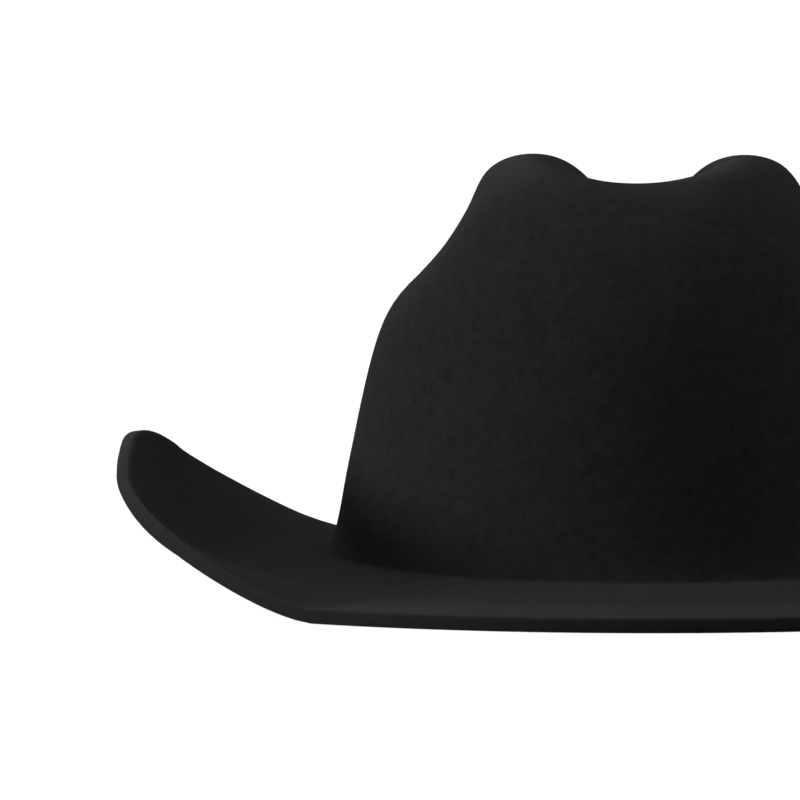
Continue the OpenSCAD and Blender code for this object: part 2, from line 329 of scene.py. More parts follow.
def crown_point(q, reach, lift, flare, s):
    low = break_height(q, s)
    z = low + (s["Crown height"] - low) * lift
    out_x, out_y = oval_out(q, s)
    flare = flare * exponential((low - z) / s["Flare height"]) * ramp(reach, 0.5, 1.0)
    x = s["Crown width"] / 2 * reach * cosine(q) * (1 - s["Side taper"] * lift) + out_x * flare
    y = s["Crown length"] / 2 * reach * sine(q) * (1 - s["End taper"] * lift)
    y = y + s["Crown lean"] * lift + out_y * flare
    return creased(x, y, z, lift, s)


def crown_at(q, f, s):
    """The crown's outer face at meridian angle f, 0 at the middle of the top."""
    across = at_least(sine(f), 0.0)
    up = at_least(cosine(f), 0.0)
    k = (across ** s["Crown squareness"] + up ** s["Crown squareness"]) ** (-1 / s["Crown squareness"])
    return crown_point(q, k * across, k * up, s["Flare"], s)


def wall_at(q, z, inset, s=CROWN):
    """A place inside the wall at height z; inset is measured from the felt's outer face."""
    low = break_height(q, s)
    lift = (z - low) / (s["Crown height"] - low)
    reach = (1 - at_least(lift, 0.0) ** s["Crown squareness"]) ** (1 / s["Crown squareness"])
    x, y, _ = crown_point(q, reach, lift, 0.0, s)
    out_x, out_y = oval_out(q, s)
    return x - out_x * inset, y - out_y * inset, z


def brim_height(q, r, s):
    """Height of the brim's upper face, r from 0 at the break to 1 at the edge."""
    c = at_most(size_of(cosine(q)), 1.0)
    turn = on(c, "ARCCOSINE", np.arccos) * (360 / TURN)
    t = ramp(1 - turn / s["Curl angle"], 0.0, 1.0)
    soft = s["Curl softness"]
    t = (root(t * t + soft * soft) - soft) / (root(1 + soft * soft) - soft)
    share = ease(t, 0.0, 1.0) ** s["Curl onset"]
    behind = s["Curl height behind"]
    curl = behind + (s["Curl height in front"] - behind) * (1 - sine(q)) / 2
    down = ease(r, 0.0, SETTLE)
    return break_height(q, s) * (1 - down) + s["Brim thickness"] * down + curl * share * r ** s["Curl roll"]


# ---------------------------------------------------------------- trees and meshes

def start_tree(name, sizes):
    """A geometry tree with one named input for each size, and those inputs as wires."""
    tree = bpy.data.node_groups.new(name, "GeometryNodeTree")
    tree.interface.new_socket("Geometry", in_out="OUTPUT", socket_type="NodeSocketGeometry")
    for size in sizes:
        kind = "NodeSocketInt" if size.startswith("Count") else "NodeSocketFloat"
        tree.interface.new_socket(size, in_out="INPUT", socket_type=kind)
    board = Board(tree)
    source = tree.nodes.new("NodeGroupInput")
    return tree, board, {size: Wire(board, source.outputs[size]) for size in sizes}


def end_tree(board, geometry, material):
    whole = board.add("GeometryNodeRealizeInstances", inputs={"Geometry": geometry})
    smooth = board.add("GeometryNodeSetShadeSmooth", inputs={"Geometry": whole})
    done = board.add("GeometryNodeSetMaterial", inputs={"Geometry": smooth, "Material": material})
    output = board.tree.nodes.new("NodeGroupOutput")
    board.plug(output.inputs[0], done)


def mesh_from(name, tree, sizes, finish=None):
    """Runs the tree once and keeps the result as a plain mesh object."""
    rough = bpy.data.objects.new(name + "_rough", bpy.data.meshes.new(name + "_rough"))
    bpy.context.scene.collection.objects.link(rough)
    modifier = rough.modifiers.new("nodes", "NODES")
    modifier.node_group = tree
    for item in tree.interface.items_tree:
        if item.in_out == "INPUT":
            modifier[item.identifier] = sizes[item.name]
    if finish:
        finish(rough)
    graph = bpy.context.evaluated_depsgraph_get()
    mesh = bpy.data.meshes.new_from_object(rough.evaluated_get(graph))
    mesh.name = name
    bpy.data.objects.remove(rough)
    return add_object(name, mesh)


def add_object(name, mesh):
    thing = bpy.data.objects.new(name, mesh)
    bpy.context.scene.collection.objects.link(thing)
    return thing


def store(board, geometry, name, value):
    return board.add("GeometryNodeStoreNamedAttribute", {"data_type": "FLOAT", "domain": "POINT"},
                     {"Geometry": geometry, "Name": name, "Value": value})


def column_grid(board, around, rows):
    """A grid of columns round the oval, and each point's column and row."""
    grid = board.add("GeometryNodeMeshGrid", inputs={"Vertices X": around + 1, "Vertices Y": rows + 1})
    index = board.add("GeometryNodeInputIndex")
    column = ((index + 0.5) / (rows + 1)).math("FLOOR")
    outward = board.add("GeometryNodeFlipFaces", inputs={"Mesh": grid})
    return outward, column, index - column * (rows + 1)


def shelled(board, skin, thickness):
    """The skin with a wall of that thickness on its inner side, closed at its edges."""
    normal = board.add("GeometryNodeInputNormal")
    inward = board.scaled(normal, -1.0)
    inner = board.add("GeometryNodeExtrudeMesh", {"mode": "FACES"},
                      {"Mesh": skin, "Offset": inward, "Offset Scale": thickness, "Individual": False})
    turned = board.add("GeometryNodeFlipFaces", inputs={"Mesh": inner})
    both = board.add("GeometryNodeJoinGeometry").socket.node
    board.tree.links.new(turned.socket, both.inputs[0])
    board.tree.links.new(skin.socket, both.inputs[0])
    shell = Wire(board, both.outputs[0])
    return board.add("GeometryNodeMergeByDistance", inputs={"Geometry": shell, "Distance": WALL_WELD})


def blocked_felt(material):
    """The whole felt: crown and brim in one skin, with its thickness and a rounded cut edge."""
    counts = {"Count around": TREE_STEPS, "Count crown rows": 84, "Count brim rows": 44}
    waves = {"Hand wave": 0.7, "Hand wave size": 45.0}
    sizes = {**CROWN, **BRIM, **counts, **waves}
    tree, board, s = start_tree("blocked_felt", sizes)
    crown_rows = s["Count crown rows"]
    grid, column, row = column_grid(board, s["Count around"], crown_rows + s["Count brim rows"])
    q = column * TURN / s["Count around"]

    t = ramp(row, 0.0, crown_rows)
    f = math.pi / 2 * (1 - (1 - t) ** CROWN_CROWDING)
    crown = board.vector(*crown_at(q, f, s))

    def across_brim(place):
        return (at_least(place - crown_rows, 0.0) / s["Count brim rows"]) ** BRIM_CROWDING

    r = across_brim(row)
    before = across_brim(row - 1)
    c = cosine(q)
    width = s["Brim width at sides"] * c * c + s["Brim width at ends"] * (1 - c * c) - s["Flare"]
    z = brim_height(q, r, s)
    rise = z - brim_height(q, before, s)
    run = width * (r - before)
    plan = root(at_least(run * run - rise * rise, run * run * MIN_PLAN ** 2))
    reach = board.add("GeometryNodeAccumulateField", {"data_type": "FLOAT", "domain": "POINT"},
                      {"Value": plan, "Group ID": column})
    out_x, out_y = oval_out(q, s)
    brim = board.vector(s["Crown width"] / 2 * c + out_x * (s["Flare"] + reach),
                        s["Crown length"] / 2 * sine(q) + out_y * (s["Flare"] + reach), z)

    on_brim = row.math("GREATER_THAN", crown_rows)
    place = board.add("ShaderNodeMix", {"data_type": "VECTOR"}, {0: on_brim, 4: crown, 5: brim}, out=1)
    skin = board.add("GeometryNodeSetPosition",
                     inputs={"Geometry": grid, "Position": board.scaled(place, MM)})
    thick = s["Felt thickness"] + (s["Brim thickness"] - s["Felt thickness"]) * ease(r, 0.0, THICKEN)
    skin = store(board, store(board, skin, "thick", thick * MM), "to_edge", r)
    skin = board.add("GeometryNodeMergeByDistance", inputs={"Geometry": skin, "Distance": WELD})

    position = board.add("GeometryNodeInputPosition")
    height = board.parts(position)[2]
    free = ease(height, WAVE_FROM, WAVE_FULL)
    wave = board.noise(position, scale=1000 / s["Hand wave size"], detail=1.0)
    push = (wave - 0.5) * free * s["Hand wave"] * 2 * MM
    shift = board.scaled(board.add("GeometryNodeInputNormal"), push)
    skin = board.add("GeometryNodeSetPosition", inputs={"Geometry": skin, "Offset": shift})
    thickness = board.add("GeometryNodeInputNamedAttribute", {"data_type": "FLOAT"}, {"Name": "thick"})
    end_tree(board, shelled(board, skin, thickness), material)
    return mesh_from("felt_hat", tree, sizes, round_edges)


def round_edges(thing):
    """Rounds the corners of the cut brim edge."""
    bevel = thing.modifiers.new("edge", "BEVEL")
    bevel.limit_method = "ANGLE"
    bevel.angle_limit = math.radians(EDGE_ANGLE)
    bevel.width = EDGE_ROUND * MM
    bevel.segments = EDGE_STEPS


def crown_layer(name, material, from_angle, to_angle, rows, depth, thickness, pucker=0.0):
    """A thin layer that follows the inside of the crown between two meridian angles."""
    layer = {"From angle": from_angle, "To angle": to_angle, "Depth": depth, "Thickness": thickness,
             "Pucker": pucker, "Count around": TREE_STEPS, "Count rows": rows}
    sizes = {**CROWN, **layer}
    tree, board, s = start_tree(name, sizes)
    grid, column, row = column_grid(board, s["Count around"], s["Count rows"])
    q = column * TURN / s["Count around"]
    f = (s["From angle"] + (s["To angle"] - s["From angle"]) * row / s["Count rows"]) * TURN / 360
    place = board.vector(*crown_at(q, f, s))
    skin = board.add("GeometryNodeSetPosition",
                     inputs={"Geometry": grid, "Position": board.scaled(place, MM)})
    skin = board.add("GeometryNodeMergeByDistance", inputs={"Geometry": skin, "Distance": WELD})
    position = board.add("GeometryNodeInputPosition")
    x, y, z = board.parts(position)
    fold = board.noise(board.vector(x, y, z * 0.12), scale=170.0, detail=1.5)
    sink = (s["Depth"] + s["Pucker"] * ramp(fold, 0.42, 0.7)) * -MM
    shift = board.scaled(board.add("GeometryNodeInputNormal"), sink)
    skin = board.add("GeometryNodeSetPosition", inputs={"Geometry": skin, "Offset": shift})
    end_tree(board, shelled(board, skin, s["Thickness"] * MM), material)
    return mesh_from(name, tree, sizes)


def stitch_shape(board, s):
    """One stitch: a fat short thread with rounded ends, lying along X."""
    ball = board.add("GeometryNodeMeshUVSphere", inputs={"Segments": 10, "Rings": 8, "Radius": 1.0})
    shape = board.vector(s["Stitch length"] / 2 * MM, s["Thread radius"] * MM, s["Thread radius"] * MM)
    return board.add("GeometryNodeTransform", inputs={"Geometry": ball, "Scale": shape})


def stitches(name, material, count, place, sizes):
    """A row of stitches. place gives position, thread direction and outward direction by row index."""
    sizes = {**CROWN, "Count": count, "Thread radius": THREAD_RADIUS, **sizes}
    tree, board, s = start_tree(name, sizes)
    line = board.add("GeometryNodeMeshLine", inputs={"Count": s["Count"]})
    index = board.add("GeometryNodeInputIndex")
    position, thread, out = place(board, index, s)
    points = board.add("GeometryNodeSetPosition",
                       inputs={"Geometry": line, "Position": board.scaled(position, MM)})
    turn = board.add("FunctionNodeAxesToRotation", {"primary_axis": "X", "secondary_axis": "Z"},
                     {"Primary Axis": thread, "Secondary Axis": out})
    copies = board.add("GeometryNodeInstanceOnPoints",
                       inputs={"Points": points, "Instance": stitch_shape(board, s), "Rotation": turn})
    end_tree(board, copies, material)
    return mesh_from(name, tree, sizes)


def round_the_band(board, index, s):
    """Stitches that follow the oval."""
    q = index * TURN / s["Count"]
    out_x, out_y = oval_out(q, s)
    tilt = ((index * 0.5).math("FRACT") - 0.25) * 0.16
    return (board.vector(*wall_at(q, s["Height"], s["Inset"], s)),
            board.vector(-out_y, out_x, tilt), board.vector(out_x, out_y, 0.0))


def into_the_felt(board, index, s):
    """Threads that run outwards, from the reed tape to the felt."""
    q = (index + 0.5) * TURN / s["Count"]
    out_x, out_y = oval_out(q, s)
    return (board.vector(*wall_at(q, s["Height"], s["Inset"], s)),
            board.vector(out_x, out_y, 0.0), board.vector(0.0, 0.0, 1.0))


def up_the_seam(board, index, s):
    """A zigzag up the back seam."""
    z = s["Height"] + (index + 0.5) * s["Pitch"]
    lean = ((index * 0.5).math("FRACT") * 4 - 1) * 1.2
    return (board.vector(*wall_at(board.number(TURN / 4), z, s["Inset"], s)),
            board.vector(lean, 0.0, 1.0), board.vector(0.0, 1.0, 0.0))


def skin_through(name, points, ring=True, tube=True):
    """A smooth skin through rows of points, with a UV map in metres along and across the rows.
    A ring joins the last row to the first, and a tube joins the end of each row to its start."""
    points = np.array(points)
    n, m, _ = points.shape
    cells = [(j, i) for j in range(n if ring else n - 1) for i in range(m if tube else m - 1)]
    faces = [(j * m + i, j * m + (i + 1) % m, (j + 1) % n * m + (i + 1) % m, (j + 1) % n * m + i)
             for j, i in cells]
    mesh = bpy.data.meshes.new(name)
    mesh.from_pydata(points.reshape(-1, 3).tolist(), [], faces)
    along = np.linalg.norm(np.roll(points, -1, 0) - points, axis=2).mean(1)
    across = np.linalg.norm(np.roll(points, -1, 1) - points, axis=2).mean(0)
    u = np.concatenate([[0], np.cumsum(along)])
    v = np.concatenate([[0], np.cumsum(across)])
    corners = np.array([[(u[j], v[i]), (u[j], v[i + 1]), (u[j + 1], v[i + 1]), (u[j + 1], v[i])]
                        for j, i in cells])
    mesh.uv_layers.new(name="strip").data.foreach_set("uv", corners.reshape(-1))
    mesh.polygons.foreach_set("use_smooth", [True] * len(faces))
    mesh.update()
    return add_object(name, mesh)


def oval_ring(name, profile):
    """A closed strip swept round the oval. profile(q) gives its section as insets and heights."""
    angles = np.arange(RING_STEPS) * TURN / RING_STEPS
    sections = [profile(q) for q in angles]
    points = np.array([[wall_at(q, z, inset) for inset, z in section]
                       for q, section in zip(angles, sections)])
    return skin_through(name, points * MM)


def finished(thing, *modifiers):
    """Applies modifiers, given as (kind, settings), and keeps the result as a plain mesh."""
    for kind, settings in modifiers:
        modifier = thing.modifiers.new(kind, kind)
        for name, value in settings.items():
            setattr(modifier, name, value)
    graph = bpy.context.evaluated_depsgraph_get()
    mesh = bpy.data.meshes.new_from_object(thing.evaluated_get(graph))
    thing.modifiers.clear()
    thing.data = mesh
    return thing


# ---------------------------------------------------------------- the pieces

def sweatband_profile(q):
    """The leather's section: a rolled top edge, a pressed line under it and a groove at the back seam."""
    seam = 0.45 * bell(q, TURN / 4, 0.012)
    heights = np.linspace(BAND_BOTTOM, BAND_TOP - 0.5, 22)
    slack = [0.35 * max(0.0, (z - 30) / 24) ** 2 for z in heights]
    press = [0.22 * bell(z, BAND_TOP - 3.2, 0.5) for z in heights]
    middle = (BAND_OUTER + BAND_INNER) / 2
    outer = [(BAND_OUTER + give, z) for z, give in zip(heights, slack)]
    crest = [(middle + 0.35 - LEATHER / 2 * math.cos(a), BAND_TOP - 0.5 + 0.5 * math.sin(a))
             for a in np.linspace(0.5, math.pi - 0.5, 4)]
    inner = [(BAND_INNER + give - dip - seam, z) for z, give, dip in zip(heights, slack, press)]
    return (outer + crest + inner[::-1])[::-1]


def reed_profile(q):
    """The reed's round section, the same at every angle q."""
    middle = (BAND_OUTER + BAND_INNER) / 2
    centre = BAND_BOTTOM - REED_RADIUS - SLACK
    return [(middle - REED_RADIUS * math.cos(a), centre - REED_RADIUS * math.sin(a))
            for a in np.linspace(0, TURN, 12, endpoint=False)]


def tape_profile(q):
    """The tape folded round the reed: up the felt side, round the reed and up the inner side."""
    middle = (BAND_OUTER + BAND_INNER) / 2
    half = max(REED_RADIUS, LEATHER / 2) + SLACK
    centre = BAND_BOTTOM - REED_RADIUS
    near = BAND_OUTER - TOUCH
    far = BAND_INNER + TOUCH
    bend = [(-math.cos(a), -math.sin(a)) for a in np.linspace(0, math.pi, 9)]
    outside = [(middle + (half + TAPE) * c, centre + (half + TAPE) * d) for c, d in bend]
    inside = [(middle + half * c, centre + half * d) for c, d in bend]
    heights = [TAPE_TOP, 9.5, 8.0]
    return ([(near - TAPE, z) for z in heights] + outside + [(far + TAPE, z) for z in heights[::-1]]
            + [(far, z) for z in heights] + inside[::-1] + [(near, z) for z in heights[::-1]])


def wall_card(name, middle, width, low, high, inset, corner):
    """A thin card with round corners that lies along the wall; middle is its angle."""
    rows = 25
    columns = 17
    step = 0.01
    here = np.array(wall_at(middle - step, low, inset))
    there = np.array(wall_at(middle + step, low, inset))
    per_mm = 2 * step / np.linalg.norm(there - here)
    grid = []
    for i in range(columns):
        side = 2 * i / (columns - 1) - 1
        column = []
        for j in range(rows):
            z = low + (high - low) * (0.5 - 0.5 * math.cos(math.pi * j / (rows - 1)))
            near_end = max(0.0, corner - min(z - low, high - z))
            half = width / 2 - corner + math.sqrt(max(0.0, corner ** 2 - near_end ** 2))
            q = middle + side * half * per_mm
            column.append([v * MM for v in wall_at(q, z, inset)])
        grid.append(column)
    return skin_through(name, grid, ring=False, tube=False)


def piping_path():
    """The piping's middle line, which is the lining seam sunk below the satin, and the normals there."""
    q = np.arange(RING_STEPS) * TURN / RING_STEPS
    f = SEAM_ANGLE * TURN / 360
    step = 0.004
    here = np.array(crown_at(q, f, CROWN)).T
    down = np.array(crown_at(q, f + step, CROWN)).T - np.array(crown_at(q, f - step, CROWN)).T
    round_it = np.roll(here, -1, 0) - np.roll(here, 1, 0)
    normal = np.cross(down, round_it)
    normal = normal / np.linalg.norm(normal, axis=1)[:, None]
    return here - normal * (LINING_DEPTH + SATIN + PIPING_RADIUS + TOUCH), normal


def lining_piping():
    """The cord in the seam between the two lining panels."""
    path, normal = piping_path()
    tangent = np.roll(path, -1, 0) - np.roll(path, 1, 0)
    tangent = tangent / np.linalg.norm(tangent, axis=1)[:, None]
    side = np.cross(tangent, normal)
    angles = np.linspace(0, TURN, 10, endpoint=False)
    points = np.array([[p + PIPING_RADIUS * (math.cos(a) * b - math.sin(a) * n) for a in angles]
                       for p, n, b in zip(path, normal, side)])
    return skin_through("lining_piping", points * MM)


def ribbon_strip(name, path, half_widths, across, closed=False):
    """A ribbon along a path, in millimetres, with a direction across it."""
    grid = [[[(p[k] + across[k] * h * side) * MM for k in range(3)] for side in (-1, -0.5, 0, 0.5, 1)]
            for p, h in zip(path, half_widths)]
    return skin_through(name, grid, ring=closed, tube=False)


def bow():
    """A flat bow on the back seam: two loops, two tails and a wrapped knot."""
    _, back_y, _ = wall_at(TURN / 4, BOW_HEIGHT, BAND_INNER)
    y = float(back_y) - BOW_STAND
    half = RIBBON_WIDTH / 2
    strips = []
    for side in (-1, 1):
        loop = []
        for a in np.linspace(0, TURN, 40, endpoint=False):
            swell = (1 - math.cos(a)) / 2
            loop.append((side * (0.8 + 10.6 * swell), y + 1.55 * math.sin(a) * swell ** 0.5,
                         BOW_HEIGHT + 0.9 * swell))
        pinch = [half * (0.55 + 0.45 * min(1.0, abs(p[0]) / 5)) for p in loop]
        strips.append(ribbon_strip("bow_loop", loop, pinch, (side * -0.12, 0, 1), closed=True))
        steps = np.linspace(0, 1, 16)
        tail = [(side * (0.6 + 5.2 * t), y + 0.5 * math.sin(3 * t), BOW_HEIGHT - 0.5 - 10.2 * t)
                for t in steps]
        spread = [half * (0.5 + 0.5 * min(1.0, 3 * t)) for t in steps]
        strips.append(ribbon_strip("bow_tail", tail, spread, (0.9, 0, side * 0.42)))
    wrap = [(0.0, y + 1.15 * math.cos(a), BOW_HEIGHT + 2.35 * math.sin(a))
            for a in np.linspace(0, TURN, 32, endpoint=False)]
    strips.append(ribbon_strip("bow_knot", wrap, [1.5] * len(wrap), (1, 0, 0), closed=True))
    for strip in strips:
        finished(strip, ("SOLIDIFY", {"thickness": RIBBON * MM, "offset": 0.0}),
                 ("BEVEL", {"width": 0.08 * MM, "segments": 1, "angle_limit": math.radians(50)}))
    return joined("back_bow", strips)


def joined(name, things):
    """One mesh from several, each already in place."""
    whole = bmesh.new()
    for thing in things:
        whole.from_mesh(thing.data)
        bpy.data.objects.remove(thing)
    mesh = bpy.data.meshes.new(name)
    whole.to_mesh(mesh)
    whole.free()
    mesh.polygons.foreach_set("use_smooth", [True] * len(mesh.polygons))
    return add_object(name, mesh)


# ---------------------------------------------------------------- materials

def new_material(name, **constants):
    """A material with its unchanging values set on the shader's own sockets."""
    material = bpy.data.materials.new(name)
    material.use_nodes = True
    board = Board(material.node_tree)
    shader = material.node_tree.nodes["Principled BSDF"]
    for socket, value in constants.items():
        shader.inputs[socket.replace("_", " ")].default_value = value
    return material, board, shader


def bumped(board, shader, height, distance, strength):
    bump = board.add("ShaderNodeBump",
                     inputs={"Strength": strength, "Distance": distance, "Height": height})
    board.plug(shader.inputs["Normal"], bump)


def tinted(board, amount, dark, light):
    """A colour between two, by an amount from 0 to 1."""
    return board.add("ShaderNodeMix", {"data_type": "RGBA"},
                     {0: amount, 6: (*dark, 1.0), 7: (*light, 1.0)}, out=2)


def object_place(board):
    return board.add("ShaderNodeTexCoord", out=3)


def strip_place(board):
    """The piece's own map: metres along the strip and across it."""
    return board.parts(board.add("ShaderNodeUVMap", {"uv_map": "strip"}))


def black_felt():
    """Brushed fur felt: a clouded nap with short fibres that run round the hat."""
    material, board, shader = new_material(
        "black_felt", Sheen_Weight=0.012, Sheen_Roughness=0.6, Specular_IOR_Level=0.01, IOR=1.3)
    place = object_place(board)
    x, y, z = board.parts(place)
    around = y.math("ARCTAN2", x) * 0.1
    out = root(x * x + y * y)
    brushed = board.vector(around * 0.35, z, out)
    fibres = board.noise(brushed, scale=1300.0, detail=4.0, roughness=0.65)
    flecks = board.noise(place, scale=360.0, detail=3.0, roughness=0.6, distortion=0.6)
    clouds = board.noise(place, scale=90.0, detail=3.0, roughness=0.55)
    drift = board.noise(place, scale=17.0, detail=2.0)
    mixed = fibres * 0.2 + flecks * 0.5 + clouds * 0.2 + drift * 0.1
    to_edge = board.add("ShaderNodeAttribute", {"attribute_name": "to_edge"}, out=2)
    # The last sliver of the brim at the cut edge is painted lighter: partly rubbed wear, partly a painted
    # highlight where the edge catches the light.
    edge_wear_and_highlight = ease(to_edge, 0.975, 1.0) * (0.6 + 0.8 * flecks)
    tone = ramp(mixed, 0.22, 0.78)
    nap = tinted(board, tone, (0.0031, 0.0031, 0.0032), (0.0096, 0.0096, 0.0098))
    colour = board.add("ShaderNodeMix", {"data_type": "RGBA"},
                       {0: edge_wear_and_highlight * 0.5, 6: nap, 7: (0.0105, 0.0105, 0.0108, 1.0)}, out=2)
    board.plug(shader.inputs["Base Color"], colour)
    board.plug(shader.inputs["Roughness"], 0.82 + 0.16 * clouds)
    bumped(board, shader, fibres * 0.45 + flecks * 0.4 + clouds * 0.5, distance=0.0005, strength=0.4)
    return material


def band_leather():
    """Smooth lining leather with a fine pebble and faint creases."""
    material, board, shader = new_material("band_leather", Coat_Roughness=0.3, Specular_IOR_Level=0.45)
    place = object_place(board)
    pores = board.add("ShaderNodeTexVoronoi", {"feature": "F1"}, {"Vector": place, "Scale": 1500.0})
    cells = board.add("ShaderNodeTexVoronoi", {"feature": "DISTANCE_TO_EDGE"},
                      {"Vector": place, "Scale": 620.0})
    cracks = ramp(cells, 0.0, 0.16)
    creases = board.noise(place, scale=90.0, detail=5.0, roughness=0.6, distortion=0.8)
    stain = board.noise(place, scale=22.0, detail=3.0)
    tone = ramp(stain * 0.55 + creases * 0.3 + cracks * 0.15, 0.3, 0.72)
    brown = tinted(board, tone, (0.050, 0.022, 0.011), (0.135, 0.062, 0.030))
    board.plug(shader.inputs["Base Color"], brown)
    board.plug(shader.inputs["Roughness"], 0.62 - 0.2 * cracks + 0.12 * creases)
    board.plug(shader.inputs["Coat Weight"], 0.08 + 0.14 * stain)
    bumped(board, shader, cracks * 0.5 + pores * 0.25 + creases * 0.6, distance=0.00025, strength=0.6)
    return material


def woven(name, dark, light, thread, dull=0.75):
    """Plain weave on a strip's own map. thread is the pitch of its threads in millimetres,
    and dull is the least roughness."""
    material, board, shader = new_material(name, Sheen_Weight=0.25, Sheen_Roughness=0.5,
                                           Specular_IOR_Level=0.25)
    u, v, _ = strip_place(board)
    turn = TURN / (thread * MM)
    warp = sine(u * turn)
    weft = sine(v * turn)
    over = (warp * weft) * 0.5 + 0.5
    fuzz = board.noise(object_place(board), scale=2600.0, detail=3.0)
    dirt = board.noise(object_place(board), scale=60.0, detail=2.0)
    tone = ramp(over * 0.6 + fuzz * 0.25 + dirt * 0.3, 0.15, 0.95)
    board.plug(shader.inputs["Base Color"], tinted(board, tone, dark, light))
    board.plug(shader.inputs["Roughness"], dull + 0.15 * fuzz)
    bumped(board, shader, over + fuzz * 0.4, distance=0.00012, strength=0.7)
    return material


def grosgrain():
    """Ribbed ribbon: ribs across, with fine threads along each rib."""
    material, board, shader = new_material("bow_ribbon", Sheen_Weight=0.3, Sheen_Roughness=0.35,
                                           Specular_IOR_Level=0.35)
    u, v, _ = strip_place(board)
    ribs = sine(u * (TURN / (0.7 * MM))) * 0.5 + 0.5
    threads = sine(v * (TURN / (0.25 * MM))) * 0.5 + 0.5
    fuzz = board.noise(object_place(board), scale=2200.0, detail=3.0)
    tone = ramp(ribs * 0.6 + threads * 0.15 + fuzz * 0.25, 0.1, 0.95)
    black = tinted(board, tone, (0.009, 0.009, 0.010), (0.045, 0.045, 0.050))
    board.plug(shader.inputs["Base Color"], black)
    board.plug(shader.inputs["Roughness"], 0.45 + 0.25 * fuzz)
    bumped(board, shader, ribs + threads * 0.15, distance=0.00018, strength=0.8)
    return material


def lining_satin():
    """Grey satin: long floating threads, a soft shine and slight slubs."""
    material, board, shader = new_material("lining_satin", Sheen_Weight=0.35, Sheen_Roughness=0.3,
                                           Specular_IOR_Level=0.42)
    place = object_place(board)
    x, y, z = board.parts(place)
    around = y.math("ARCTAN2", x) * 0.09
    lengthwise = board.vector(around * 0.08, z, root(x * x + y * y))
    floats = board.noise(lengthwise, scale=3200.0, detail=3.0, roughness=0.6)
    slubs = board.noise(board.vector(around * 0.2, z * 1.2, x * 0.3), scale=420.0, detail=2.0)
    drape = board.noise(place, scale=45.0, detail=2.0)
    tone = ramp(floats * 0.4 + slubs * 0.3 + drape * 0.3, 0.3, 0.7)
    board.plug(shader.inputs["Base Color"], tinted(board, tone, (0.085, 0.085, 0.092), (0.20, 0.20, 0.215)))
    board.plug(shader.inputs["Roughness"], 0.40 + 0.18 * floats + 0.08 * drape)
    bumped(board, shader, floats * 0.5 + slubs * 0.5, distance=0.00008, strength=0.5)
    return material


def sewing_thread(name, dark, light):
    """Twisted thread: fine slanting plies and a little fluff."""
    material, board, shader = new_material(name, Sheen_Weight=0.3, Sheen_Roughness=0.4,
                                           Specular_IOR_Level=0.3)
    place = object_place(board)
    x, y, z = board.parts(place)
    plies = sine((x + y + z * 1.4) * (TURN / (0.55 * MM))) * 0.5 + 0.5
    fluff = board.noise(place, scale=3000.0, detail=2.0)
    soil = board.noise(place, scale=80.0, detail=2.0)
    tone = ramp(plies * 0.5 + fluff * 0.3 + soil * 0.2, 0.1, 0.9)
    board.plug(shader.inputs["Base Color"], tinted(board, tone, dark, light))
    board.plug(shader.inputs["Roughness"], 0.6 + 0.25 * fluff)
    bumped(board, shader, plies + fluff * 0.3, distance=0.00008, strength=0.7)
    return material


def clear_film():
    """Clear soft plastic, a little hazy, with handling waves."""
    material, board, shader = new_material("clear_film", Specular_IOR_Level=0.7, IOR=1.46,
                                           Coat_Roughness=0.08)
    place = object_place(board)
    haze = board.noise(place, scale=30.0, detail=3.0)
    scuffs = board.noise(place, scale=400.0, detail=4.0, roughness=0.7)
    board.plug(shader.inputs["Base Color"], tinted(board, haze, (0.72, 0.76, 0.79), (0.88, 0.91, 0.93)))
    board.plug(shader.inputs["Roughness"], 0.07 + 0.12 * scuffs)
    board.plug(shader.inputs["Alpha"], 0.16 + 0.10 * haze)
    board.plug(shader.inputs["Coat Weight"], 0.5 + 0.3 * haze)
    bumped(board, shader, haze, distance=0.0012, strength=0.35)
    return material


def reed_plastic():
    """Drawn pale plastic."""
    material, board, shader = new_material("reed_plastic", Specular_IOR_Level=0.4)
    place = object_place(board)
    drawn = board.noise(place, scale=300.0, detail=3.0)
    spots = board.noise(place, scale=1800.0, detail=2.0)
    board.plug(shader.inputs["Base Color"], tinted(board, drawn, (0.38, 0.36, 0.31), (0.58, 0.56, 0.50)))
    board.plug(shader.inputs["Roughness"], 0.4 + 0.25 * spots)
    bumped(board, shader, drawn + spots * 0.4, distance=0.0001, strength=0.4)
    return material


def tag_card():
    """Uncoated card with a fibrous tooth."""
    material, board, shader = new_material("tag_card", Specular_IOR_Level=0.25)
    place = object_place(board)
    fibres = board.noise(place, scale=900.0, detail=5.0, roughness=0.7, distortion=1.5)
    clouds = board.noise(place, scale=120.0, detail=2.0)
    tone = ramp(fibres * 0.6 + clouds * 0.4, 0.3, 0.7)
    board.plug(shader.inputs["Base Color"], tinted(board, tone, (0.56, 0.54, 0.48), (0.74, 0.73, 0.68)))
    board.plug(shader.inputs["Roughness"], 0.8 + 0.15 * fibres)
    bumped(board, shader, fibres, distance=0.0001, strength=0.5)
    return material


# ---------------------------------------------------------------- putting it together

def settle(thing, material, nodes):
    """Gives a finished piece its material and body, and hides the CAD parts that it stands for."""
    thing.data.materials.clear()
    thing.data.materials.append(material)
    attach(thing, "root")
    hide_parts(*nodes)
    return thing


felt = black_felt()
hat = settle(blocked_felt(felt), felt, ["felt_body"])

leather = band_leather()
settle(oval_ring("leather_sweatband", sweatband_profile), leather, ["sweatband"])

settle(oval_ring("reed", reed_profile), reed_plastic(), ["sweatband_reed"])

tape_cloth = woven("reed_tape_weave", (0.020, 0.017, 0.014), (0.085, 0.075, 0.062), 0.7)
settle(oval_ring("woven_reed_tape", tape_profile), tape_cloth, ["reed_tape"])

card_inset = BAND_OUTER - TOUCH - CLEAR / 2
card_wall = ("SOLIDIFY", {"thickness": CLEAR * MM, "offset": 0.0})
patch = wall_card("back_patch", TURN / 4, PATCH_WIDTH, TAPE_TOP + 1, HEM_HEIGHT - 2, card_inset, 1.0)
finished(patch, card_wall)
settle(patch, tape_cloth, ["sweatband_back_patch"])

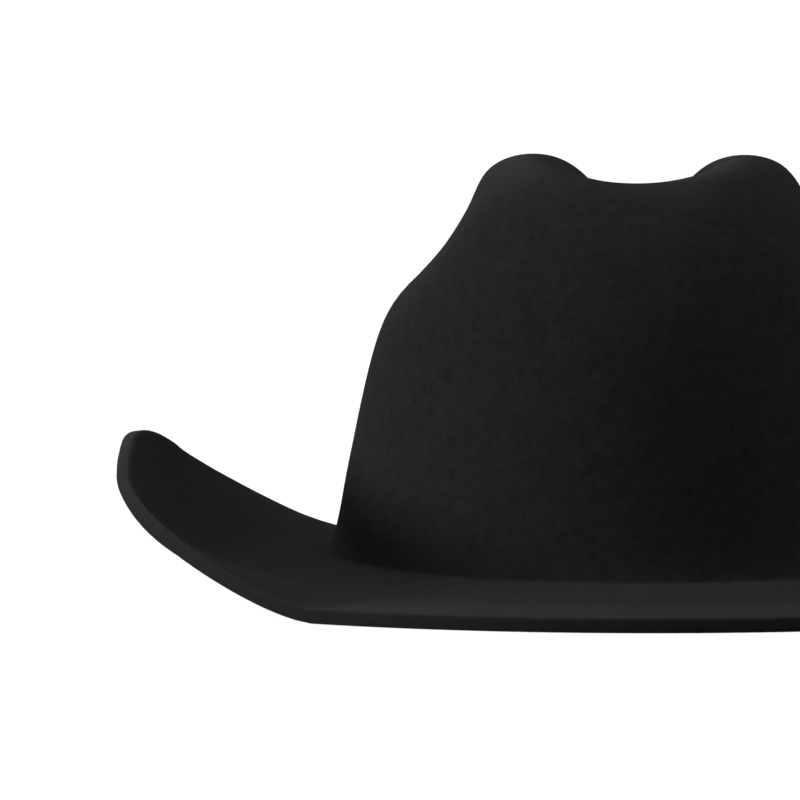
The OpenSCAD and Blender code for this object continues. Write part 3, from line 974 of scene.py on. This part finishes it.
tag_low = TAPE_TOP + 3
tag = wall_card("blank_size_tag", TURN / 3, TAG_WIDTH, tag_low, tag_low + TAG_HEIGHT, card_inset, 2.0)
finished(tag, card_wall)
settle(tag, tag_card(), ["size_tag"])

pale_thread = sewing_thread("pale_thread", (0.20, 0.16, 0.11), (0.46, 0.40, 0.31))
dark_thread = sewing_thread("dark_thread", (0.010, 0.010, 0.010), (0.040, 0.040, 0.040))
settle(stitches("tape_stitches", pale_thread, STITCH_COUNT, round_the_band,
                {"Stitch length": STITCH_LENGTH, "Height": TAPE_TOP - 1.2,
                 "Inset": BAND_INNER + TOUCH + TAPE + THREAD_RADIUS * 0.5}),
       pale_thread, ["reed_stitches"])
felt_corner = 1.5
thread_run = BAND_OUTER - TAPE - 2 * TOUCH - felt_corner
settle(stitches("break_stitches", dark_thread, STITCH_COUNT, into_the_felt,
                {"Stitch length": thread_run, "Height": 8.5, "Inset": felt_corner + thread_run / 2}),
       dark_thread, ["brim_stitches"])
seam_from = BOW_HEIGHT + RIBBON_WIDTH + 2
settle(stitches("seam_zigzag", pale_thread, SEAM_STITCHES, up_the_seam,
                {"Stitch length": STITCH_LENGTH, "Height": seam_from,
                 "Pitch": (BAND_TOP - 2 - seam_from) / SEAM_STITCHES,
                 "Inset": BAND_INNER + THREAD_RADIUS * 0.6}),
       pale_thread, ["sweatband_seam_stitches"])

settle(bow(), grosgrain(), ["sweatband_bow"])

satin = lining_satin()
low = CROWN["Break height at ends"]
square = CROWN["Crown squareness"]
hem_lift = (HEM_HEIGHT - low) / (CROWN["Crown height"] - low)
hem_reach = (1 - hem_lift ** square) ** (1 / square)
hem_angle = math.degrees(math.atan2(hem_reach, hem_lift))
side_lining = settle(crown_layer("satin_side", satin, SEAM_ANGLE + SEAM_HALF, hem_angle, 40,
                                 LINING_DEPTH, SATIN, 0.9), satin, ["lining_side"])
tip_lining = settle(crown_layer("satin_tip", satin, 0.0, SEAM_ANGLE - SEAM_HALF, 56,
                                LINING_DEPTH, SATIN), satin, ["lining_tip"])

settle(lining_piping(), woven("piping_cord", (0.030, 0.030, 0.034), (0.11, 0.11, 0.12), 0.9, 0.6),
       ["lining_seam_piping"])

film = clear_film()
settle(crown_layer("clear_shield", film, 0.0, SHIELD_ANGLE, 40,
                   LINING_DEPTH + SATIN + CLEAR, CLEAR), film,
       ["tip_shield"])


# ---------------------------------------------------------------- floor, light and camera

FLOOR_HALF = 3.0
FLOOR_DROP = 0.0004
FLOOR_SHOWS = 0.08
FLOOR_FADE = (0.35, 1.2)
AIM = (0, 0, 0.05)
# Name, place, power in watts, width and height in metres, and spread in degrees.
LIGHTS = [
    ("key", (2.3, 0.5, 0.3), 112, 1.2, 0.6, 180),
    ("overhead", (-0.6, 0.35, 1.6), 50, 2.0, 2.0, 180),
    ("fill", (-1.4, 1.8, 0.6), 7, 1.0, 1.0, 180),
    ("front", (0.9, -2.0, 1.0), 18, 1.2, 1.0, 180),
    ("below", (0.0, 0.0, -0.5), 0.7, 0.2, 0.2, 60),
]


def floor():
    """A plain pale floor that fades into the white room, and is seen only from above."""
    mesh = bpy.data.meshes.new("floor")
    around = ((-1, -1), (1, -1), (1, 1), (-1, 1))
    corners = [(a * FLOOR_HALF, b * FLOOR_HALF, -FLOOR_DROP) for a, b in around]
    mesh.from_pydata(corners, [], [(0, 1, 2, 3)])
    material, board, shader = new_material("pale_floor", Roughness=0.95, Specular_IOR_Level=0.0)
    place = object_place(board)
    x, y, z = board.parts(place)
    grain = board.noise(place, scale=3.0, detail=2.0)
    seen = board.add("ShaderNodeLightPath")
    board.plug(shader.inputs["Base Color"], tinted(board, grain, (0.91, 0.91, 0.91), (0.93, 0.93, 0.93)))
    under = board.add("ShaderNodeNewGeometry", out=6)
    near = 1 - ease(root(x * x + y * y), *FLOOR_FADE)
    board.plug(shader.inputs["Alpha"], near * (1 - under) * seen * FLOOR_SHOWS)
    mesh.materials.append(material)
    ground = add_object("floor", mesh)


def soft_light(name, place, power, width, height, spread):
    """A rectangular light that looks at the hat."""
    light = bpy.data.lights.new(name, "AREA")
    light.shape = "RECTANGLE"
    light.size = width
    light.size_y = height
    light.energy = power
    light.spread = math.radians(spread)
    lamp = bpy.data.objects.new(name, light)
    lamp.location = place
    lamp.rotation_euler = (Vector(AIM) - Vector(place)).to_track_quat("-Z", "Y").to_euler()
    bpy.context.scene.collection.objects.link(lamp)


def studio():
    """The floor, the lights and a world that is white to the camera and dim to the hat."""
    floor()
    for light in LIGHTS:
        soft_light(*light)
    world = bpy.data.worlds.new("white_room")
    world.use_nodes = True
    board = Board(world.node_tree)
    seen = board.add("ShaderNodeLightPath")
    background = world.node_tree.nodes["Background"]
    background.inputs["Color"].default_value = (1.0, 1.0, 1.0, 1.0)
    height = board.parts(object_place(board))[2]
    board.plug(background.inputs["Strength"], 0.05 + 0.2 * ease(height, -0.3, 0.3) + 0.95 * seen)
    bpy.context.scene.world = world
    bpy.context.scene.view_settings.view_transform = "Standard"


def camera():
    """A long lens a little above the brim, behind the hat and to one side of its middle."""
    distance = 2.2
    elevation = math.radians(2.78)
    target = Vector((0, 0, 0.06))
    back = Vector((0, math.cos(elevation), math.sin(elevation)))
    data = bpy.data.cameras.new("camera")
    data.sensor_width = 36.0
    data.lens = 349.5
    eye = bpy.data.objects.new("camera", data)
    eye.location = target + back * distance
    aim = Vector((0.0677, 0, 0.0513))
    eye.rotation_mode = "QUATERNION"
    eye.rotation_quaternion = (aim - eye.location).to_track_quat("-Z", "Y")
    bpy.context.scene.collection.objects.link(eye)
    bpy.context.scene.camera = eye


studio()
camera()
